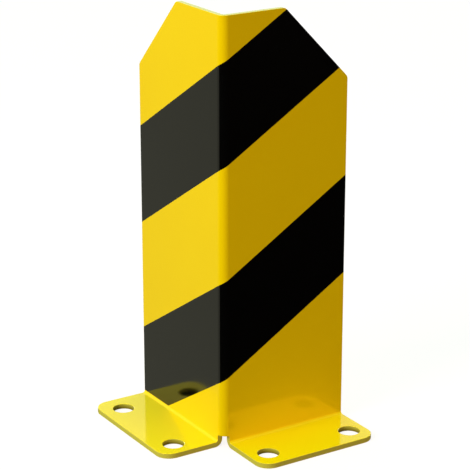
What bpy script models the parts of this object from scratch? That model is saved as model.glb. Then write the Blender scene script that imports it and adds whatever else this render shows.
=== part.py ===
# Rack column guard: one sheet of steel, cut flat and folded into an angle with two bolt-down feet.
# The blank is made flat first, at its full thickness, in the sheet's own coordinates: across (u),
# up (v) and out from the middle of the thickness (w), all in metres. Its corner bend and its two
# foot bends are folded last. The finished guard stands on its feet with +Z up, and its outer corner
# points to -X and -Y.

import math

import bmesh
import bpy
from mathutils import Vector

MM = 0.001

# Angle
HEIGHT = 400 * MM
LEFT_WING_WIDTH = 142 * MM             # outer corner to free edge, along +Y
RIGHT_WING_WIDTH = 132 * MM            # outer corner to free edge, along +X
SHEET_THICKNESS = 5 * MM
CORNER_INSIDE_RADIUS = 2.5 * MM

# Cut corners at the top of each wing
CHAMFER_WIDTH = 67 * MM
CHAMFER_HEIGHT = 69 * MM
CHAMFER_CORNER_RADIUS = 6 * MM

# Feet, folded outward
FOOT_DEPTH = 57 * MM                   # wing's outer face to the foot's free edge
FOOT_INSIDE_RADIUS = 2.5 * MM
FOOT_CORNER_RADIUS = 14 * MM

# Relief notch between the feet, where the corner bend ends
RELIEF_HEIGHT = 12 * MM
RELIEF_CLEARANCE = 0.3 * MM            # how far the notch goes past the corner bend on each side
RELIEF_CORNER_RADIUS = 2 * MM

# Anchor bolt holes, two in each foot
HOLE_DIAMETER = 20 * MM
HOLE_EDGE_DISTANCE = 21 * MM           # hole's centre to the foot's free edge
HOLE_NOTCH_DISTANCE = 18.5 * MM        # nearer hole's centre to the foot's edge at the notch
LEFT_HOLE_END_DISTANCE = 22.7 * MM     # farther hole's centre to the left foot's other end
RIGHT_HOLE_END_DISTANCE = 16.7 * MM    # farther hole's centre to the right foot's other end

# Warning stripes, given where they cross the middle of the corner bend
STRIPE_COUNT = 2
STRIPE_TOP = 358 * MM
STRIPE_PITCH = 198 * MM
STRIPE_HEIGHT = 93 * MM
STRIPE_ANGLE = math.radians(32)
STEEPEST_PAINTED = math.radians(84)    # the colour goes over the edge rounding as far as this

# Finish
EDGE_ROUNDING = 0.4 * MM               # coated edges and hole rims
YELLOW_COAT = (0.930, 0.694, 0.004)    # linear colour
BLACK_COAT = (0.006, 0.006, 0.005)     # linear colour
COAT_ROUGHNESS = 0.3
SHARP_ANGLE = math.radians(35)         # edges steeper than this are shaded sharp

# Fineness
CORNER_BEND_STEPS = 12
FOOT_BEND_STEPS = 8
ARC_STEPS = 8
HOLE_STEPS = 48
EDGE_STEPS = 2
MERGE_DISTANCE = 0.01 * MM
FLAT_ANGLE = math.radians(0.1)         # faces that differ by less than this are one flat face

# Worked out from the sizes above
CORNER_OUTSIDE_RADIUS = CORNER_INSIDE_RADIUS + SHEET_THICKNESS
CORNER_MID_RADIUS = CORNER_INSIDE_RADIUS + SHEET_THICKNESS / 2
CORNER_HALF_LENGTH = CORNER_MID_RADIUS * math.pi / 4
FOOT_MID_RADIUS = FOOT_INSIDE_RADIUS + SHEET_THICKNESS / 2
FOOT_BEND_LENGTH = FOOT_MID_RADIUS * math.pi / 2
FOOT_BEND_TOP = SHEET_THICKNESS + FOOT_INSIDE_RADIUS
FOOT_BEND_END = FOOT_BEND_TOP - FOOT_BEND_LENGTH
BLANK_BOTTOM = FOOT_BEND_END - (FOOT_DEPTH - FOOT_INSIDE_RADIUS)
BLANK_LEFT = -(CORNER_HALF_LENGTH + LEFT_WING_WIDTH - CORNER_OUTSIDE_RADIUS)
BLANK_RIGHT = CORNER_HALF_LENGTH + RIGHT_WING_WIDTH - CORNER_OUTSIDE_RADIUS
NOTCH_EDGE = CORNER_HALF_LENGTH + RELIEF_CLEARANCE


def clear_scene():
    for obj in list(bpy.data.objects):
        bpy.data.objects.remove(obj, do_unlink=True)


def new_collection(name):
    collection = bpy.data.collections.new(name)
    bpy.context.scene.collection.children.link(collection)
    return collection


def coat(name, colour):
    material = bpy.data.materials.new(name)
    material.use_nodes = True
    material.diffuse_color = (*colour, 1)
    shader = material.node_tree.nodes["Principled BSDF"]
    shader.inputs["Base Color"].default_value = (*colour, 1)
    shader.inputs["Roughness"].default_value = COAT_ROUGHNESS
    shader.inputs["Metallic"].default_value = 0
    return material


def rounded(corners):
    """Points of a closed outline whose corners are (u, v, radius), each rounded by a tangent arc."""
    points = []
    for index, (u, v, radius) in enumerate(corners):
        corner = Vector((u, v))
        before = (Vector(corners[index - 1][:2]) - corner).normalized()
        after = (Vector(corners[(index + 1) % len(corners)][:2]) - corner).normalized()
        half_angle = before.angle(after) / 2
        bisector = (before + after).normalized()
        centre = corner + bisector * (radius / math.sin(half_angle))
        start = corner + before * (radius / math.tan(half_angle)) - centre
        turn = before.angle_signed(after)
        sweep = math.copysign(math.pi - abs(turn), turn)
        for step in range(ARC_STEPS + 1):
            angle = sweep * step / ARC_STEPS
            cosine, sine = math.cos(angle), math.sin(angle)
            arm = Vector((start.x * cosine - start.y * sine, start.x * sine + start.y * cosine))
            points.append(centre + arm)
    return points


def circle(u, v, radius):
    """Points of a hole's edge, clockwise, so that the edge rounding knows it for a hole."""
    angles = [-2 * math.pi * step / HOLE_STEPS for step in range(HOLE_STEPS)]
    return [Vector((u + radius * math.cos(a), v + radius * math.sin(a))) for a in angles]


def blank_outline():
    """The cut edge of the flat sheet, anticlockwise from the left foot's outer corner."""
    chamfer_foot = HEIGHT - CHAMFER_HEIGHT
    return rounded([
        (BLANK_LEFT, BLANK_BOTTOM, FOOT_CORNER_RADIUS),
        (-NOTCH_EDGE, BLANK_BOTTOM, FOOT_CORNER_RADIUS),
        (-NOTCH_EDGE, RELIEF_HEIGHT, RELIEF_CORNER_RADIUS),
        (NOTCH_EDGE, RELIEF_HEIGHT, RELIEF_CORNER_RADIUS),
        (NOTCH_EDGE, BLANK_BOTTOM, FOOT_CORNER_RADIUS),
        (BLANK_RIGHT, BLANK_BOTTOM, FOOT_CORNER_RADIUS),
        (BLANK_RIGHT, chamfer_foot, CHAMFER_CORNER_RADIUS),
        (BLANK_RIGHT - CHAMFER_WIDTH, HEIGHT, CHAMFER_CORNER_RADIUS),
        (BLANK_LEFT + CHAMFER_WIDTH, HEIGHT, CHAMFER_CORNER_RADIUS),
        (BLANK_LEFT, chamfer_foot, CHAMFER_CORNER_RADIUS),
    ])


def hole_centres():
    nearer = NOTCH_EDGE + HOLE_NOTCH_DISTANCE
    row = BLANK_BOTTOM + HOLE_EDGE_DISTANCE
    return [
        (BLANK_LEFT + LEFT_HOLE_END_DISTANCE, row),
        (-nearer, row),
        (nearer, row),
        (BLANK_RIGHT - RIGHT_HOLE_END_DISTANCE, row),
    ]


def flat_blank():
    """The blank as a filled flat curve with rounded edges, turned into a mesh.

    The curve's own rounding adds to the outline, so the outline is first drawn in by as much.
    """
    curve = bpy.data.curves.new("blank", "CURVE")
    curve.dimensions = "2D"
    curve.fill_mode = "BOTH"
    curve.extrude = SHEET_THICKNESS / 2 - EDGE_ROUNDING
    curve.bevel_depth = EDGE_ROUNDING
    curve.bevel_resolution = EDGE_STEPS - 1
    curve.offset = -EDGE_ROUNDING
    loops = [blank_outline()]
    loops += [circle(u, v, HOLE_DIAMETER / 2) for u, v in hole_centres()]
    for loop in loops:
        spline = curve.splines.new("POLY")
        spline.points.add(len(loop) - 1)
        for point, place in zip(spline.points, loop):
            point.co = (place.x, place.y, 0, 1)
        spline.use_cyclic_u = True
    holder = bpy.data.objects.new("blank", curve)
    bpy.context.scene.collection.objects.link(holder)
    depsgraph = bpy.context.evaluated_depsgraph_get()
    mesh = bpy.data.meshes.new_from_object(holder.evaluated_get(depsgraph))
    mesh.name = "column_guard"
    bpy.data.objects.remove(holder)
    bpy.data.curves.remove(curve)
    return mesh


def score(sheet, point, normal, faces):
    """Splits faces of the flat sheet along a straight line."""
    edges = {edge for face in faces for edge in face.edges}
    verts = {vert for face in faces for vert in face.verts}
    bmesh.ops.bisect_plane(
        sheet, geom=[*verts, *edges, *faces], dist=MERGE_DISTANCE,
        plane_co=(*point, 0), plane_no=(*normal, 0))


def score_bends(sheet):
    """Lines across the sheet, so that each bend has a facet for each step."""
    for step in range(CORNER_BEND_STEPS + 1):
        across = CORNER_HALF_LENGTH * (2 * step / CORNER_BEND_STEPS - 1)
        score(sheet, (across, 0), (1, 0), sheet.faces[:])
    for step in range(FOOT_BEND_STEPS + 1):
        up = FOOT_BEND_TOP - FOOT_BEND_LENGTH * step / FOOT_BEND_STEPS
        score(sheet, (0, up), (0, 1), sheet.faces[:])


def merge_flats(sheet):
    """Leaves each flat stretch with as few faces as it needs. The bends keep their facets."""
    close = 2 * MERGE_DISTANCE
    loose = []
    for edge in sheet.edges:
        first, second = (vert.co for vert in edge.verts)
        upright = abs(first.x - second.x) < close and abs(first.x) < CORNER_HALF_LENGTH + close
        level = abs(first.y - second.y) < close
        level = level and FOOT_BEND_END - close < first.y < FOOT_BEND_TOP + close
        if not upright and not level:
            loose.append(edge)
    bmesh.ops.dissolve_limit(sheet, angle_limit=FLAT_ANGLE, verts=sheet.verts, edges=loose)


def paint_stripes(sheet):
    """Gives the outer face its stripes as a second material.

    They cross the flat sheet in straight lines, so each one rises from the left wing to the right
    one and carries on round the corner bend. They stop where a foot bend starts.
    """
    square = (-math.sin(STRIPE_ANGLE), math.cos(STRIPE_ANGLE))
    for number in range(STRIPE_COUNT):
        top = STRIPE_TOP - number * STRIPE_PITCH
        bottom = top - STRIPE_HEIGHT
        for start in (top, bottom):
            score(sheet, (0, start), square, [face for face in sheet.faces if is_outside(face)])
        for face in sheet.faces:
            centre = face.calc_center_median()
            crossing = centre.y - centre.x * math.tan(STRIPE_ANGLE)
            if is_outside(face) and bottom < crossing < top:
                face.material_index = 1


def is_outside(face):
    """True for a face above the feet that looks outward, the rounding of its edges included."""
    looks_out = face.normal.z > math.cos(STEEPEST_PAINTED)
    return face.calc_center_median().y > FOOT_BEND_TOP and looks_out


def fold(u, v, w):
    """Place of a point of the flat sheet once its bends are made.

    The foot bend turns the sheet outward about a line outside the wing. What is left is wrapped
    round the corner bend: straight along +Y on the left, a quarter turn, straight along +X.
    """
    from_outer_face = w - SHEET_THICKNESS / 2
    if v >= FOOT_BEND_TOP:
        outward, height = from_outer_face, v
    elif v >= FOOT_BEND_END:
        angle = (FOOT_BEND_TOP - v) / FOOT_MID_RADIUS
        reach = FOOT_INSIDE_RADIUS - from_outer_face
        outward = FOOT_INSIDE_RADIUS - reach * math.cos(angle)
        height = FOOT_BEND_TOP - reach * math.sin(angle)
    else:
        outward = FOOT_INSIDE_RADIUS + FOOT_BEND_END - v
        height = SHEET_THICKNESS + from_outer_face
    if u < -CORNER_HALF_LENGTH:
        return -outward, CORNER_OUTSIDE_RADIUS - CORNER_HALF_LENGTH - u, height
    if u > CORNER_HALF_LENGTH:
        return CORNER_OUTSIDE_RADIUS - CORNER_HALF_LENGTH + u, -outward, height
    turn = math.radians(225) + u / CORNER_MID_RADIUS
    reach = CORNER_OUTSIDE_RADIUS + outward
    return (CORNER_OUTSIDE_RADIUS + reach * math.cos(turn),
            CORNER_OUTSIDE_RADIUS + reach * math.sin(turn), height)


def folded_sheet():
    mesh = flat_blank()
    sheet = bmesh.new()
    sheet.from_mesh(mesh)
    bmesh.ops.remove_doubles(sheet, verts=sheet.verts, dist=MERGE_DISTANCE)
    bmesh.ops.recalc_face_normals(sheet, faces=sheet.faces)
    score_bends(sheet)
    merge_flats(sheet)
    paint_stripes(sheet)
    for vert in sheet.verts:
        vert.co = fold(*vert.co)
    sheet.to_mesh(mesh)
    sheet.free()
    return mesh


def column_guard(collection):
    guard = bpy.data.objects.new("column_guard", folded_sheet())
    collection.objects.link(guard)
    guard.data.materials.append(coat("yellow_powder_coat", YELLOW_COAT))
    guard.data.materials.append(coat("black_stripe_coat", BLACK_COAT))
    guard.data.shade_smooth()
    guard.data.set_sharp_from_angle(angle=SHARP_ANGLE)

    # the origin is the middle of the ground that the guard covers
    guard.location = (
        -(RIGHT_WING_WIDTH - FOOT_DEPTH) / 2,
        -(LEFT_WING_WIDTH - FOOT_DEPTH) / 2,
        0,
    )
    return guard


clear_scene()
column_guard(new_collection("rack_column_guard"))
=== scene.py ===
import math

import bmesh
import bpy
import numpy as np
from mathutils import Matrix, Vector


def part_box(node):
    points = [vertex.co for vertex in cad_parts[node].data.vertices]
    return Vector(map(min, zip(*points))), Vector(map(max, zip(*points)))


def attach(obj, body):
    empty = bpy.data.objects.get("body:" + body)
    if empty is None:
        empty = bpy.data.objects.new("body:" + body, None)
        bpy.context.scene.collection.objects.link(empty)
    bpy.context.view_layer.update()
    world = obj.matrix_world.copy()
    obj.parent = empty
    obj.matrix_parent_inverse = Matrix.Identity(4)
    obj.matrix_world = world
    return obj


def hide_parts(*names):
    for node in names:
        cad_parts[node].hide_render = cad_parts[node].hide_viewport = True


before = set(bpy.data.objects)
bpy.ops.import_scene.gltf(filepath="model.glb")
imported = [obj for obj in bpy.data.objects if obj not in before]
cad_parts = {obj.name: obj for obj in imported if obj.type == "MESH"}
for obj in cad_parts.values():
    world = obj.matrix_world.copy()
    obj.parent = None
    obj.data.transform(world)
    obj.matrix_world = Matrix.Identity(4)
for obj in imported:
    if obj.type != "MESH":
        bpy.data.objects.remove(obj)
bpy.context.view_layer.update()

# A rack column guard: one steel sheet, cut flat, folded and powder coated, on a pale studio floor.
# Everything is in metres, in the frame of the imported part: +Z up, outer corner towards -X and -Y.

mm = 0.001
samePlace = 0.001 * mm              # places closer than this are taken as one

# The fine sheet. Its height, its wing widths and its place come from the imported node.
# Flat places are (u, v, w): across the sheet from the corner bend, up from the floor, and out
# from the middle of the sheet's thickness.
lowCorner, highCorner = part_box("column_guard")

guard = {
    "footDepth": 57 * mm,           # wing's outer face to the foot's free edge
    "thickness": 5 * mm,
    "cornerInsideRadius": 2.5 * mm,
    "footInsideRadius": 2.5 * mm,
    "chamferWidth": 67 * mm,        # cut corner at the top of each wing
    "chamferHeight": 69 * mm,
    "chamferRounding": 6 * mm,
    "footRounding": 14 * mm,
    "notchHeight": 12 * mm,
    "notchClearance": 0.3 * mm,     # from the corner bend to the notch's side
    "notchRounding": 2 * mm,
    "holeDiameter": 20 * mm,
    "holeToFreeEdge": 21 * mm,      # all from the hole's centre
    "holeToNotch": 18.5 * mm,
    "holeToEndLeft": 22.7 * mm,
    "holeToEndRight": 16.7 * mm,
    "edgeRounding": 0.4 * mm,
    "rimReach": 0.6 * mm,           # how far round a hole its rim is looked for
    "cell": 3 * mm,                 # size of a cell on the flat stretches
    "bendCells": 16,                # cells round half of the corner bend, and round a foot bend
    "arcCells": 10,
    "ringCells": 8,                 # rings between a hole and the edges round it
    "edgeCells": 4,                 # cells round each rounded edge
    "rowCells": 80,
}
guard["height"] = highCorner.z - lowCorner.z
guard["leftWidth"] = highCorner.y - lowCorner.y - guard["footDepth"]
guard["rightWidth"] = highCorner.x - lowCorner.x - guard["footDepth"]

# The warning stripes, given where they cross the middle of the corner bend.
stripes = {
    "count": 2,
    "top": 358.7 * mm,              # upper edge of the highest stripe
    "pitch": 199 * mm,
    "height": 93.6 * mm,            # straight up, not across the stripe
    "angle": math.radians(31.7),
    "steepest": math.radians(84),   # the colour goes over the edge rounding as far as this
}

# Radii and lengths of the bends, along the middle of the sheet.
halfSheet = guard["thickness"] / 2
cornerOutside = guard["cornerInsideRadius"] + guard["thickness"]
cornerMid = guard["cornerInsideRadius"] + halfSheet
cornerHalf = cornerMid * math.pi / 4
cornerStretch = cornerOutside / cornerMid    # of the outer face, against the middle of the sheet
cornerFacing = math.radians(225)             # the middle of the corner bend looks to -X and -Y
footMid = guard["footInsideRadius"] + halfSheet
footBendTop = guard["thickness"] + guard["footInsideRadius"]
footBendEnd = footBendTop - footMid * math.pi / 2
blankBottom = footBendEnd - (guard["footDepth"] - guard["footInsideRadius"])
notchSide = cornerHalf + guard["notchClearance"]


def straight(u, v, outU, outV):
    # a straight stretch of a cut edge, as rows (u, v, outward u, outward v)
    return np.column_stack(np.broadcast_arrays(u, v, outU, outV)).astype(float)


def arc(centreU, centreV, radius, start, end, facing=1):
    # an arc of a cut edge: place = centre + radius * (cos, sin), and it faces away from the centre
    # (facing 1) or towards it (facing -1)
    angle = np.radians(np.linspace(start, end, guard["arcCells"] + 1))
    c, s = np.cos(angle), np.sin(angle)
    return np.column_stack([centreU + radius * c, centreV + radius * s, facing * c, facing * s])


def steps(start, end, cell=guard["cell"]):
    # even places from start to end, about a cell apart
    return np.linspace(start, end, max(2, round(abs(end - start) / cell) + 1))


def gridCells(rows, columns):
    # the four corners of every cell of a grid, counted row by row
    index = np.arange(rows * columns).reshape(rows, columns)
    return np.stack([index[:-1, :-1], index[1:, :-1], index[1:, 1:], index[:-1, 1:]], -1).reshape(-1, 4)


def flatPatch(u, v):
    # a grid of places on both faces of the sheet: w is +half the thickness, then -half
    patches = []
    cells = gridCells(*u.shape)
    for face in (1, -1):
        places = np.stack([u, v, np.full_like(u, face * halfSheet)], -1).reshape(-1, 3)
        normals = np.zeros_like(places)
        normals[:, 2] = face
        patches.append((places, normals, cells if face > 0 else cells[:, ::-1]))
    return patches


def edgePatch(run):
    # a cut edge: the rounded edge's profile carried along the run. At an angle a from the sheet,
    # a place is moved out by rounding * cos(a), and w is the straight wall's end + rounding * sin(a)
    rounding = guard["edgeRounding"]
    quarter = np.linspace(np.pi / 2, 0, guard["edgeCells"] + 1)
    angle = np.concatenate([quarter, -quarter[::-1]])
    wall = np.repeat([halfSheet - rounding, rounding - halfSheet], len(quarter))
    out, rise = np.cos(angle)[:, None], np.sin(angle)[:, None]
    places = np.stack([
        run[:, 0] + run[:, 2] * rounding * out,
        run[:, 1] + run[:, 3] * rounding * out,
        np.broadcast_to(wall[:, None] + rounding * rise, (len(angle), len(run))),
    ], -1)
    normals = np.stack([
        run[:, 2] * out,
        run[:, 3] * out,
        np.broadcast_to(rise, (len(angle), len(run))),
    ], -1)
    return places.reshape(-1, 3), normals.reshape(-1, 3), gridCells(len(angle), len(run))


def cutCorner(end):
    # the cut corner at the top of a wing that ends at u = end: an arc, the slanting line that both
    # arcs touch, and an arc. An arc's centre lies radius * tan(half the turn) before the corner
    radius = guard["chamferRounding"]
    facing = math.atan2(guard["chamferWidth"], guard["chamferHeight"])
    upperU = end - guard["chamferWidth"] - radius * math.tan((math.pi / 2 - facing) / 2)
    lowerV = guard["height"] - guard["chamferHeight"] - radius * math.tan(facing / 2)
    drawn = radius - guard["edgeRounding"]
    upper = arc(upperU, guard["height"] - radius, drawn, 90, math.degrees(facing))
    lower = arc(end - radius, lowerV, drawn, math.degrees(facing), 0)
    share = steps(0, 1, guard["cell"] / guard["chamferWidth"])[1:-1, None]
    return np.vstack([upper, upper[-1] + share * (lower[0] - upper[-1]), lower])


def holeCell(centre, border):
    # the flat round a hole: place = circle + share * (border - circle), where the circle's place
    # is the one in the border's direction. The rim is the same circle as a run of cut edge
    angle = np.arctan2(border[:, 1] - centre[1], border[:, 0] - centre[0])
    out = np.column_stack([np.cos(angle), np.sin(angle)])
    circle = centre + out * (guard["holeDiameter"] / 2 + guard["edgeRounding"])
    share = np.linspace(0, 1, guard["ringCells"] + 1)[:, None]
    ringU = circle[:, 0] + share * (border[:, 0] - circle[:, 0])
    ringV = circle[:, 1] + share * (border[:, 1] - circle[:, 1])
    return flatPatch(ringU, ringV), np.column_stack([circle, -out])[::-1]


def footHalf(columns, end, holeToEnd):
    # a foot past its bend, as a cell for each of its two holes, parted at the column nearest to the
    # middle. Gives the flats, the rims of the holes and the cut edge from the notch to the wing's end
    rounding = guard["edgeRounding"]
    row = blankBottom + guard["holeToFreeEdge"]
    near = notchSide + guard["holeToNotch"]
    far = end - holeToEnd
    parting = int(np.argmin(abs(columns - (near + far) / 2)))
    middle = columns[parting]

    corner = guard["footRounding"]
    nearArc = arc(notchSide + corner, blankBottom + corner, corner - rounding, 180, 270)
    farArc = arc(end - corner, blankBottom + corner, corner - rounding, 270, 360)
    nearSide = straight(notchSide + rounding, steps(footBendEnd, nearArc[0, 1]), -1, 0)
    nearBottom = straight(steps(nearArc[-1, 0], middle), blankBottom + rounding, 0, -1)
    farBottom = straight(steps(middle, farArc[0, 0]), blankBottom + rounding, 0, -1)
    farSide = straight(end - rounding, steps(farArc[-1, 1], footBendEnd), 1, 0)
    parted = straight(middle, steps(blankBottom + rounding, footBendEnd), 0, 0)
    bend = straight(columns, footBendEnd, 0, 0)

    nearBorder = np.vstack([nearSide, nearArc, nearBottom, parted, bend[:parting + 1][::-1]])
    farBorder = np.vstack([parted[::-1], farBottom, farArc, farSide, bend[parting:][::-1]])
    nearFlat, nearRim = holeCell((near, row), nearBorder)
    farFlat, farRim = holeCell((far, row), farBorder)
    edge = np.vstack([nearSide, nearArc, nearBottom, farBottom, farArc, farSide])
    return nearFlat + farFlat, [nearRim, farRim], edge


def halfBlank(width, holeToEnd):
    # One half of the blank, on the side of +u, drawn in from its cut edges by their rounding.
    # Above the foot it is a height field: v = floor(u) + share * (top(u) - floor(u)).
    rounding = guard["edgeRounding"]
    side = notchSide + rounding
    end = cornerHalf + width - cornerOutside

    # the top of the field, with a column for each place on the bend and on the notch's rounded
    # corner, which the rounding of the cut edge widens. Places equal to nine decimals count once
    radius = guard["notchRounding"] + rounding
    notchArc = arc(notchSide - guard["notchRounding"], guard["notchHeight"] - guard["notchRounding"],
                   radius, 90, 0, -1)
    arcStart, notchLow = notchArc[0, 0], notchArc[-1, 1]
    bendColumns = np.linspace(0, cornerHalf, guard["bendCells"] + 1)
    inner = np.unique(np.concatenate([bendColumns, notchArc[:, 0]]).round(9))
    corner = cutCorner(end)
    level = np.concatenate([inner, steps(side, corner[0, 0])[1:]])
    outline = np.vstack([straight(level, guard["height"] - rounding, 0, 1), corner[1:]])
    columns = outline[:, 0]
    columns[len(inner) - 1] = side

    # its floor: the notch's top edge and rounded corner, then level to the wing's end
    sweep = np.clip(columns - arcStart, 0, side - arcStart)
    floor = guard["notchHeight"] - guard["notchRounding"] + np.sqrt(np.maximum(radius**2 - sweep**2, 0))
    floor[len(inner) - 1:] = notchLow
    share = np.linspace(0, 1, guard["rowCells"] + 1)
    plateV = floor[:, None] + share * (outline[:, 1] - floor)[:, None]
    patches = flatPatch(np.broadcast_to(columns[:, None], plateV.shape), plateV)

    # the foot bend, with the strip between it and the field, and the foot
    footColumns = columns[len(inner) - 1:]
    rises = np.concatenate([
        np.linspace(footBendEnd, footBendTop, guard["bendCells"] + 1),
        steps(footBendTop, notchLow, guard["cell"] / 2)[1:],
    ])
    patches += flatPatch(*np.meshgrid(footColumns, rises, indexing="ij"))
    footFlats, rims, footEdge = footHalf(footColumns, end, holeToEnd)
    patches += footFlats

    # all cut edges, with the sheet on their left
    notchTop = straight(inner, floor[:len(inner)], 0, -1)
    onArc = inner >= arcStart
    notchTop[onArc, 2:] = ((arcStart, notchLow) - notchTop[onArc, :2]) / radius
    cutEdge = np.vstack([
        notchTop,
        straight(side, rises[::-1], -1, 0),
        footEdge,
        straight(end - rounding, rises, 1, 0),
        straight(end - rounding, plateV[-1], 1, 0),
        outline[::-1],
    ])
    return patches + [edgePatch(run) for run in (cutEdge, *rims)]


def mirrored(patches):
    # the same half on the side of -u
    flip = np.array([-1.0, 1.0, 1.0])
    return [(places * flip, normals * flip, cells[:, ::-1]) for places, normals, cells in patches]


def weld(patches):
    # one list of places: those that round to the same place become one, and cells that lose an
    # edge by it become triangles or go
    sizes = np.cumsum([0] + [len(places) for places, _, _ in patches])
    places = np.vstack([patch[0] for patch in patches])
    normals = np.vstack([patch[1] for patch in patches])
    cells = np.vstack([patch[2] + start for patch, start in zip(patches, sizes)])
    keys = np.round(places / samePlace).astype(np.int64)
    _, first, where = np.unique(keys, axis=0, return_index=True, return_inverse=True)
    cells = where.reshape(-1)[cells]
    halves = np.vstack([cells[:, [0, 1, 2]], cells[:, [0, 2, 3]]])
    whole = (np.sort(cells, 1)[:, 1:] != np.sort(cells, 1)[:, :-1]).all(1)
    solid = (np.sort(halves, 1)[:, 1:] != np.sort(halves, 1)[:, :-1]).all(1)
    broken = np.concatenate([~whole, ~whole]) & solid
    faces = cells[whole].tolist() + halves[broken].tolist()
    return places[first], normals[first], faces


def cornerFrame(u):
    # directions away from the corner bend's centre and along the sheet, and the length past the bend
    turn = cornerFacing + np.clip(u, -cornerHalf, cornerHalf) / cornerMid
    out = np.column_stack([np.cos(turn), np.sin(turn)])
    along = np.column_stack([-np.sin(turn), np.cos(turn)])
    return out, along, u - np.clip(u, -cornerHalf, cornerHalf)


def foldedPlaces(flat):
    # Place of every point once the bends are made. The foot bend turns the sheet outward through
    # angle t about a line at the foot bend's inside radius:
    #   outward = radius - reach * cos(t) + length past the bend, height = bend's top - reach * sin(t)
    # The corner bend carries that round a quarter turn, straight on at both ends.
    u, v, w = flat.T
    t = np.clip((footBendTop - v) / footMid, 0, math.pi / 2)
    reach = guard["footInsideRadius"] - (w - halfSheet)
    outward = guard["footInsideRadius"] - reach * np.cos(t) + np.maximum(footBendEnd - v, 0)
    height = footBendTop - reach * np.sin(t) + np.maximum(v - footBendTop, 0)
    out, along, beyond = cornerFrame(u)
    centre = np.array([lowCorner.x, lowCorner.y]) + guard["footDepth"] + cornerOutside
    ground = centre + out * (cornerOutside + outward)[:, None] + along * beyond[:, None]
    return np.column_stack([ground, height + lowCorner.z])


def foldedNormals(flat, normals):
    # the flat sheet's normals, turned as the sheet is turned
    t = np.clip((footBendTop - flat[:, 1]) / footMid, 0, math.pi / 2)
    outward = normals[:, 2] * np.cos(t) - normals[:, 1] * np.sin(t)
    rise = normals[:, 2] * np.sin(t) + normals[:, 1] * np.cos(t)
    out, along, _ = cornerFrame(flat[:, 0])
    ground = out * outward[:, None] + along * normals[:, :1]
    turned = np.column_stack([ground, rise])
    return turned / np.linalg.norm(turned, axis=1, keepdims=True)


def stripeRise(u):
    # how far a stripe's edge has risen at u. It rises evenly along the folded sheet's outer face,
    # which is longer than the middle of the sheet round the corner bend
    bent = np.clip(u, -cornerHalf, cornerHalf)
    return math.tan(stripes["angle"]) * (u - bent + bent * cornerStretch)


def onStretch(face, side):
    # whether a face looks outward above the foot bend, on the left wing (side -1), on the corner
    # bend (side 0) or on the right wing (side 1)
    centre = face.calc_center_median()
    outer = face.normal.z > math.cos(stripes["steepest"]) and centre.y > footBendTop
    return outer and side == (centre.x > cornerHalf) - (centre.x < -cornerHalf)


def scoreEdge(cut, start, side):
    # splits one stretch of the outer face along an edge that crosses the middle of the corner bend
    # at the height start. The edge is steeper across the bend, because the bend will widen it
    u = side * cornerHalf
    slope = math.tan(stripes["angle"]) * (1 if side else cornerStretch)
    faces = [face for face in cut.faces if onStretch(face, side)]
    around = {part for face in faces for part in (*face.edges, *face.verts)}
    bmesh.ops.bisect_plane(cut, geom=[*faces, *around], dist=samePlace,
                           plane_co=(u, start + stripeRise(u), 0),
                           plane_no=Vector((-slope, 1, 0)).normalized())


def scoreStripes(mesh):
    # splits the outer face along both edges of every stripe, while the sheet is still flat
    cut = bmesh.new()
    cut.from_mesh(mesh)
    for number in range(stripes["count"]):
        top = stripes["top"] - number * stripes["pitch"]
        for start in (top, top - stripes["height"]):
            for side in (-1, 0, 1):
                scoreEdge(cut, start, side)
    cut.to_mesh(mesh)
    cut.free()


def stripeFaces(mesh):
    # 1 for each face that lies in a stripe and looks outward, 0 for the others
    count = len(mesh.polygons)
    centre, normal = np.zeros(count * 3), np.zeros(count * 3)
    mesh.polygons.foreach_get("center", centre)
    mesh.polygons.foreach_get("normal", normal)
    u, v, _ = centre.reshape(-1, 3).T
    below = stripes["top"] - (v - stripeRise(u))
    number = np.floor(below / stripes["pitch"])
    within = (number >= 0) & (number < stripes["count"])
    within &= below - number * stripes["pitch"] < stripes["height"]
    outer = (v > footBendTop) & (normal.reshape(-1, 3)[:, 2] > math.cos(stripes["steepest"]))
    return (within & outer).astype(np.int32)


def holeDepth(flat):
    # in a bolt hole, the share of the sheet's thickness above a place; elsewhere 0. It sets how much
    # painted shade the hole wall gets
    row = blankBottom + guard["holeToFreeEdge"]
    near = notchSide + guard["holeToNotch"]
    right = cornerHalf + guard["rightWidth"] - cornerOutside - guard["holeToEndRight"]
    left = cornerHalf + guard["leftWidth"] - cornerOutside - guard["holeToEndLeft"]
    centres = np.array([-left, -near, near, right])
    away = np.hypot(flat[:, :1] - centres, flat[:, 1:2] - row).min(axis=1)
    inHole = away < guard["holeDiameter"] / 2 + guard["rimReach"]
    return inHole * (halfSheet - flat[:, 2]) / guard["thickness"]


def linear(code):
    # an sRGB hex colour, as the linear colour that a shader takes
    value = np.array([int(code[i:i + 2], 16) for i in (1, 3, 5)]) / 255
    return (*np.where(value <= 0.04045, value / 12.92, ((value + 0.055) / 1.055) ** 2.4).tolist(), 1.0)


def addNode(owner, kind, sockets=(), **settings):
    # adds a node to a material or a world. Each socket, by name or number, takes a value or is
    # linked to another node's output
    tree = owner.node_tree
    node = tree.nodes.new(kind)
    for name, value in settings.items():
        setattr(node, name, value)
    for name, source in dict(sockets).items():
        if isinstance(source, bpy.types.NodeSocket):
            tree.links.new(source, node.inputs[name])
        else:
            node.inputs[name].default_value = source
    return node


def newMaterial(name):
    # a new material, and its Principled shader
    material = bpy.data.materials.new(name)
    material.use_nodes = True
    return material, material.node_tree.nodes["Principled BSDF"]


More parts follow.
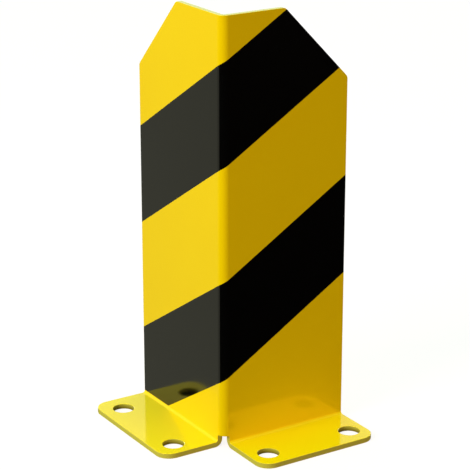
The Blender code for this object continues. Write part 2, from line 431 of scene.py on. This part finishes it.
# Polyester powder coat: charged powder blown on and baked on the steel. It melts to an even, glossy
# skin with a faint orange peel, which softens reflections a little and leaves the colour flat.
yellowCoat = {
    "name": "yellowPowderCoat",
    "colour": "#F0D504",
    "thickColour": "#EDCF02",       # where the coat lies a little thicker
    "edgeShadeColour": "#CAC64B",        # painted shade on the cut edges, which darkens them
    "holeShadeColour": "#6E6018",        # painted shade deep in the bolt holes, darker towards the bottom
    "tint": "#FFD800",              # warms what it mirrors
    "roughness": 0.1,
}
blackCoat = {
    "name": "blackPowderCoat",
    "colour": "#040403",
    "thickColour": "#030303",
    "edgeShadeColour": "#0B0B09",
    "holeShadeColour": "#0B0B09",
    "tint": "#FFFFFF",
    "roughness": 0.1,
}
coatSkin = {
    "ior": 1.7,                     # above polyester's 1.55, for strong mirror images
    "peelWidth": 2.6 * mm,          # from crest to crest
    "peelDepth": 0.005 * mm,
    "peelDetail": 1.5,              # layers of finer waves
    "peelRoughness": 0.4,           # how deep each layer is against the one before
    "driftWidth": 60 * mm,          # how far the coat's thickness takes to change
    "driftDetail": 2.0,
    "roughnessDrift": 0.03,
}


def powderCoat(coat):
    # the coat's colour drifts with its thickness; painted shade darkens it on the cut edges, and more
    # the deeper down a hole
    material, shader = newMaterial(coat["name"])
    place = addNode(material, "ShaderNodeTexCoord").outputs["Object"]
    peel = addNode(material, "ShaderNodeTexNoise", {
        "Vector": place, "Scale": 1 / coatSkin["peelWidth"],
        "Detail": coatSkin["peelDetail"], "Roughness": coatSkin["peelRoughness"]})
    bump = addNode(material, "ShaderNodeBump", {
        "Height": peel.outputs["Fac"], "Distance": coatSkin["peelDepth"]})
    drift = addNode(material, "ShaderNodeTexNoise", {
        "Vector": place, "Scale": 1 / coatSkin["driftWidth"],
        "Detail": coatSkin["driftDetail"]}).outputs["Fac"]
    factor, colourA, colourB, colourOut = 0, 6, 7, 2    # sockets of a Mix node for colours
    tone = addNode(material, "ShaderNodeMix", {
        factor: drift, colourA: linear(coat["colour"]), colourB: linear(coat["thickColour"])},
        data_type="RGBA")
    cut = addNode(material, "ShaderNodeAttribute", attribute_name="cutEdge")
    # painted shade on the cut edges
    edgeShade = addNode(material, "ShaderNodeMix", {
        factor: cut.outputs["Fac"], colourA: tone.outputs[colourOut],
        colourB: linear(coat["edgeShadeColour"])}, data_type="RGBA")
    deep = addNode(material, "ShaderNodeAttribute", attribute_name="holeDepth")
    # painted shade down a bolt hole, darker the deeper it goes
    holeShade = addNode(material, "ShaderNodeMix", {
        factor: deep.outputs["Fac"], colourA: edgeShade.outputs[colourOut],
        colourB: linear(coat["holeShadeColour"])}, data_type="RGBA")
    gloss = addNode(material, "ShaderNodeMapRange", {
        "Value": drift, "To Min": coat["roughness"] - coatSkin["roughnessDrift"] / 2,
        "To Max": coat["roughness"] + coatSkin["roughnessDrift"] / 2})
    links = material.node_tree.links
    links.new(holeShade.outputs[colourOut], shader.inputs["Base Color"])
    links.new(gloss.outputs["Result"], shader.inputs["Roughness"])
    links.new(bump.outputs["Normal"], shader.inputs["Normal"])
    shader.inputs["IOR"].default_value = coatSkin["ior"]
    shader.inputs["Specular Tint"].default_value = linear(coat["tint"])
    return material


def columnGuard():
    # the flat sheet with both halves, its stripes scored and coloured, and then folded
    patches = halfBlank(guard["rightWidth"], guard["holeToEndRight"])
    patches += mirrored(halfBlank(guard["leftWidth"], guard["holeToEndLeft"]))
    places, normals, faces = weld(patches)
    mesh = bpy.data.meshes.new("guardSheet")
    mesh.from_pydata(places, [], faces)
    flatNormal = mesh.attributes.new("flatNormal", "FLOAT_VECTOR", "POINT")
    flatNormal.data.foreach_set("vector", normals.ravel())
    scoreStripes(mesh)

    count = len(mesh.vertices)
    flat, turned = np.zeros(count * 3), np.zeros(count * 3)
    mesh.vertices.foreach_get("co", flat)
    mesh.attributes["flatNormal"].data.foreach_get("vector", turned)
    flat, turned = flat.reshape(-1, 3), turned.reshape(-1, 3)
    mesh.polygons.foreach_set("material_index", stripeFaces(mesh))
    mesh.vertices.foreach_set("co", foldedPlaces(flat).ravel())
    mesh.attributes.remove(mesh.attributes["flatNormal"])
    # masks for the painted shade: the cut edges, and the walls of the bolt holes more the deeper they
    # go
    edge = 1 - abs(turned[:, 2])
    for name, value in (("cutEdge", edge), ("holeDepth", edge * holeDepth(flat))):
        mesh.attributes.new(name, "FLOAT", "POINT").data.foreach_set("value", value)
    mesh.update()
    mesh.normals_split_custom_set_from_vertices(foldedNormals(flat, turned))

    piece = bpy.data.objects.new("guardSheet", mesh)
    bpy.context.scene.collection.objects.link(piece)
    mesh.materials.append(powderCoat(yellowCoat))
    mesh.materials.append(powderCoat(blackCoat))
    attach(piece, "root")
    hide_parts("column_guard")
    print("guard sheet:", len(mesh.vertices), "vertices,", len(mesh.polygons), "faces")


columnGuard()


studio = {
    "white": 1.0,                   # what the camera sees of the world behind the paper
    "floorSize": 12.0,
    "floorColour": "#887B76",       # the paper's, warm because the lamps' light is a little cyan
    "floorGlow": 0.8,               # what the paper shows without that light
    "worldStrength": 0.24,          # the light that comes evenly from all round
}

# Soft lamps, which all point at the frame's origin, on the floor under the guard. Those with an
# angle for their width are so far away that they light the whole floor alike. The one with a size,
# in metres, stands in the studio and lights the guard's top a little more than its feet.
lamps = {
    "keyLamp": {"place": (-2.35, -0.27, 1.5), "size": 1.5, "strength": 70.5, "colour": "#FFF2E6"},
    "warmLamp": {"place": (0.35, -0.85, 0.2), "angle": 40, "strength": 0.66, "colour": "#FF9440"},
    "topLamp": {"place": (-0.05, 0.1, 1.0), "angle": 30, "strength": 1.4, "colour": "#AFFFFA"},
    "frontTopLamp": {"place": (0.3, -0.3, 1.0), "angle": 30, "strength": 0.46, "colour": "#E2FFF0"},
    "rightFill": {"place": (0.95, 0.25, 0.15), "angle": 30, "strength": 1.3, "colour": "#FFFFFF"},
    "rearFill": {"place": (-0.05, 1.0, 0.15), "angle": 30, "strength": 1.7, "colour": "#FFFFFF"},
}

# Cards on the floor that only reflections see: the corners' places on the floor, and the height.
# The left wing mirrors the grey one and the right wing the black one. The black one also lies in the
# bolt holes of both feet as painted shade, which makes them darker in the wings' mirror images.
cards = {
    "greyCard": {
        "colour": "#91917F",
        "corners": ((-3, -3), (3, -3), (3, 3), (-3, 3)),
        "height": 0.5 * mm,
    },
    "blackCard": {
        "colour": "#050504",
        "corners": ((-0.097, 0.101), (-0.097, -0.03), (-3, 0.73), (-3, -3), (3, -3), (3, -0.04),
                    (-0.04, -0.04), (-0.04, 0.101)),
        "height": 1 * mm,
    },
}


def whiteRays(owner):
    # 1 for rays that look at the set, also in a reflection or through glass, and 0 for its light
    path = addNode(owner, "ShaderNodeLightPath")
    seen = path.outputs["Is Camera Ray"]
    for ray in ("Is Glossy Ray", "Is Transmission Ray"):
        seen = addNode(owner, "ShaderNodeMath", {0: seen, 1: path.outputs[ray]},
                       operation="MAXIMUM").outputs["Value"]
    return seen


def floorPiece(name, corners, height, material):
    # a flat sheet of the set, and not a piece of the guard
    mesh = bpy.data.meshes.new(name)
    mesh.from_pydata([(x, y, height) for x, y in corners], [], [range(len(corners))])
    mesh.materials.append(material)
    piece = bpy.data.objects.new(name, mesh)
    bpy.context.scene.collection.objects.link(piece)
    return piece


def studioFloor():
    # matt paper: white to the eye, and a little darker where the guard keeps the light off it
    material, shader = newMaterial("studioPaper")
    glow = addNode(material, "ShaderNodeMath", {0: whiteRays(material), 1: studio["floorGlow"]},
                   operation="MULTIPLY")
    shader.inputs["Base Color"].default_value = linear(studio["floorColour"])
    shader.inputs["Specular IOR Level"].default_value = 0
    shader.inputs["Emission Color"].default_value = (1, 1, 1, 1)
    material.node_tree.links.new(glow.outputs["Value"], shader.inputs["Emission Strength"])
    half = studio["floorSize"] / 2
    floorPiece("studioFloor", [(-half, -half), (half, -half), (half, half), (-half, half)], 0, material)


def reflectionCard(name, card):
    # a card that gives the glossy wings something darker than the paper to mirror
    material, shader = newMaterial(name)
    shader.inputs["Base Color"].default_value = (0, 0, 0, 1)
    shader.inputs["Specular IOR Level"].default_value = 0
    shader.inputs["Emission Color"].default_value = linear(card["colour"])
    shader.inputs["Emission Strength"].default_value = 1
    piece = floorPiece(name, card["corners"], card["height"], material)
    piece.visible_camera = False
    piece.visible_diffuse = False
    piece.visible_transmission = False
    piece.visible_shadow = False


def studioWorld():
    # white to the eye and in reflections, and much weaker as light
    world = bpy.data.worlds.new("studio")
    world.use_nodes = True
    bpy.context.scene.world = world
    strength = addNode(world, "ShaderNodeMapRange", {
        "Value": whiteRays(world), "To Min": studio["worldStrength"], "To Max": studio["white"]})
    background = world.node_tree.nodes["Background"]
    background.inputs["Color"].default_value = (1, 1, 1, 1)
    world.node_tree.links.new(strength.outputs["Result"], background.inputs["Strength"])


def softLamp(name, look):
    # a round lamp of a size, or a far one that is as wide as its angle
    if "size" in look:
        lamp = bpy.data.lights.new(name, "AREA")
        lamp.shape = "DISK"
        lamp.size = look["size"]
    else:
        lamp = bpy.data.lights.new(name, "SUN")
        lamp.angle = math.radians(look["angle"])
    lamp.energy = look["strength"]      # watts with a size, else watts on a square metre
    lamp.color = linear(look["colour"])[:3]
    holder = bpy.data.objects.new(name, lamp)
    bpy.context.scene.collection.objects.link(holder)
    holder.location = look["place"]
    holder.rotation_mode = "QUATERNION"
    holder.rotation_quaternion = (-Vector(look["place"])).to_track_quat("-Z", "Y")


studioFloor()
for name, card in cards.items():
    reflectionCard(name, card)
studioWorld()
for name, look in lamps.items():
    softLamp(name, look)
print("studio: floor, world,", len(cards), "cards and", len(lamps), "lamps")


# The camera stands to the left of the outer corner and looks down on it.
view = {
    "place": (-0.845, -1.3399, 0.7243),
    "azimuth": math.radians(-32.33),
    "elevation": math.radians(18.73),
    "lens": 141.7,                  # in millimetres, as is the sensor's width
    "sensorWidth": 36,
    "nearest": 10 * mm,             # what is closer to the camera isn't drawn
}


def photoCamera():
    # back is the direction from the guard to the camera
    a, e = view["azimuth"], view["elevation"]
    back = Vector((math.sin(a) * math.cos(e), -math.cos(a) * math.cos(e), math.sin(e)))
    camera = bpy.data.objects.new("camera", bpy.data.cameras.new("camera"))
    bpy.context.scene.collection.objects.link(camera)
    camera.data.lens = view["lens"]
    camera.data.sensor_width = view["sensorWidth"]
    camera.data.clip_start = view["nearest"]
    camera.location = view["place"]
    camera.rotation_mode = "QUATERNION"
    camera.rotation_quaternion = (-back).to_track_quat("-Z", "Y")
    bpy.context.scene.camera = camera


photoCamera()
bpy.context.scene.view_settings.view_transform = "Standard"
print("camera: as in the photograph")
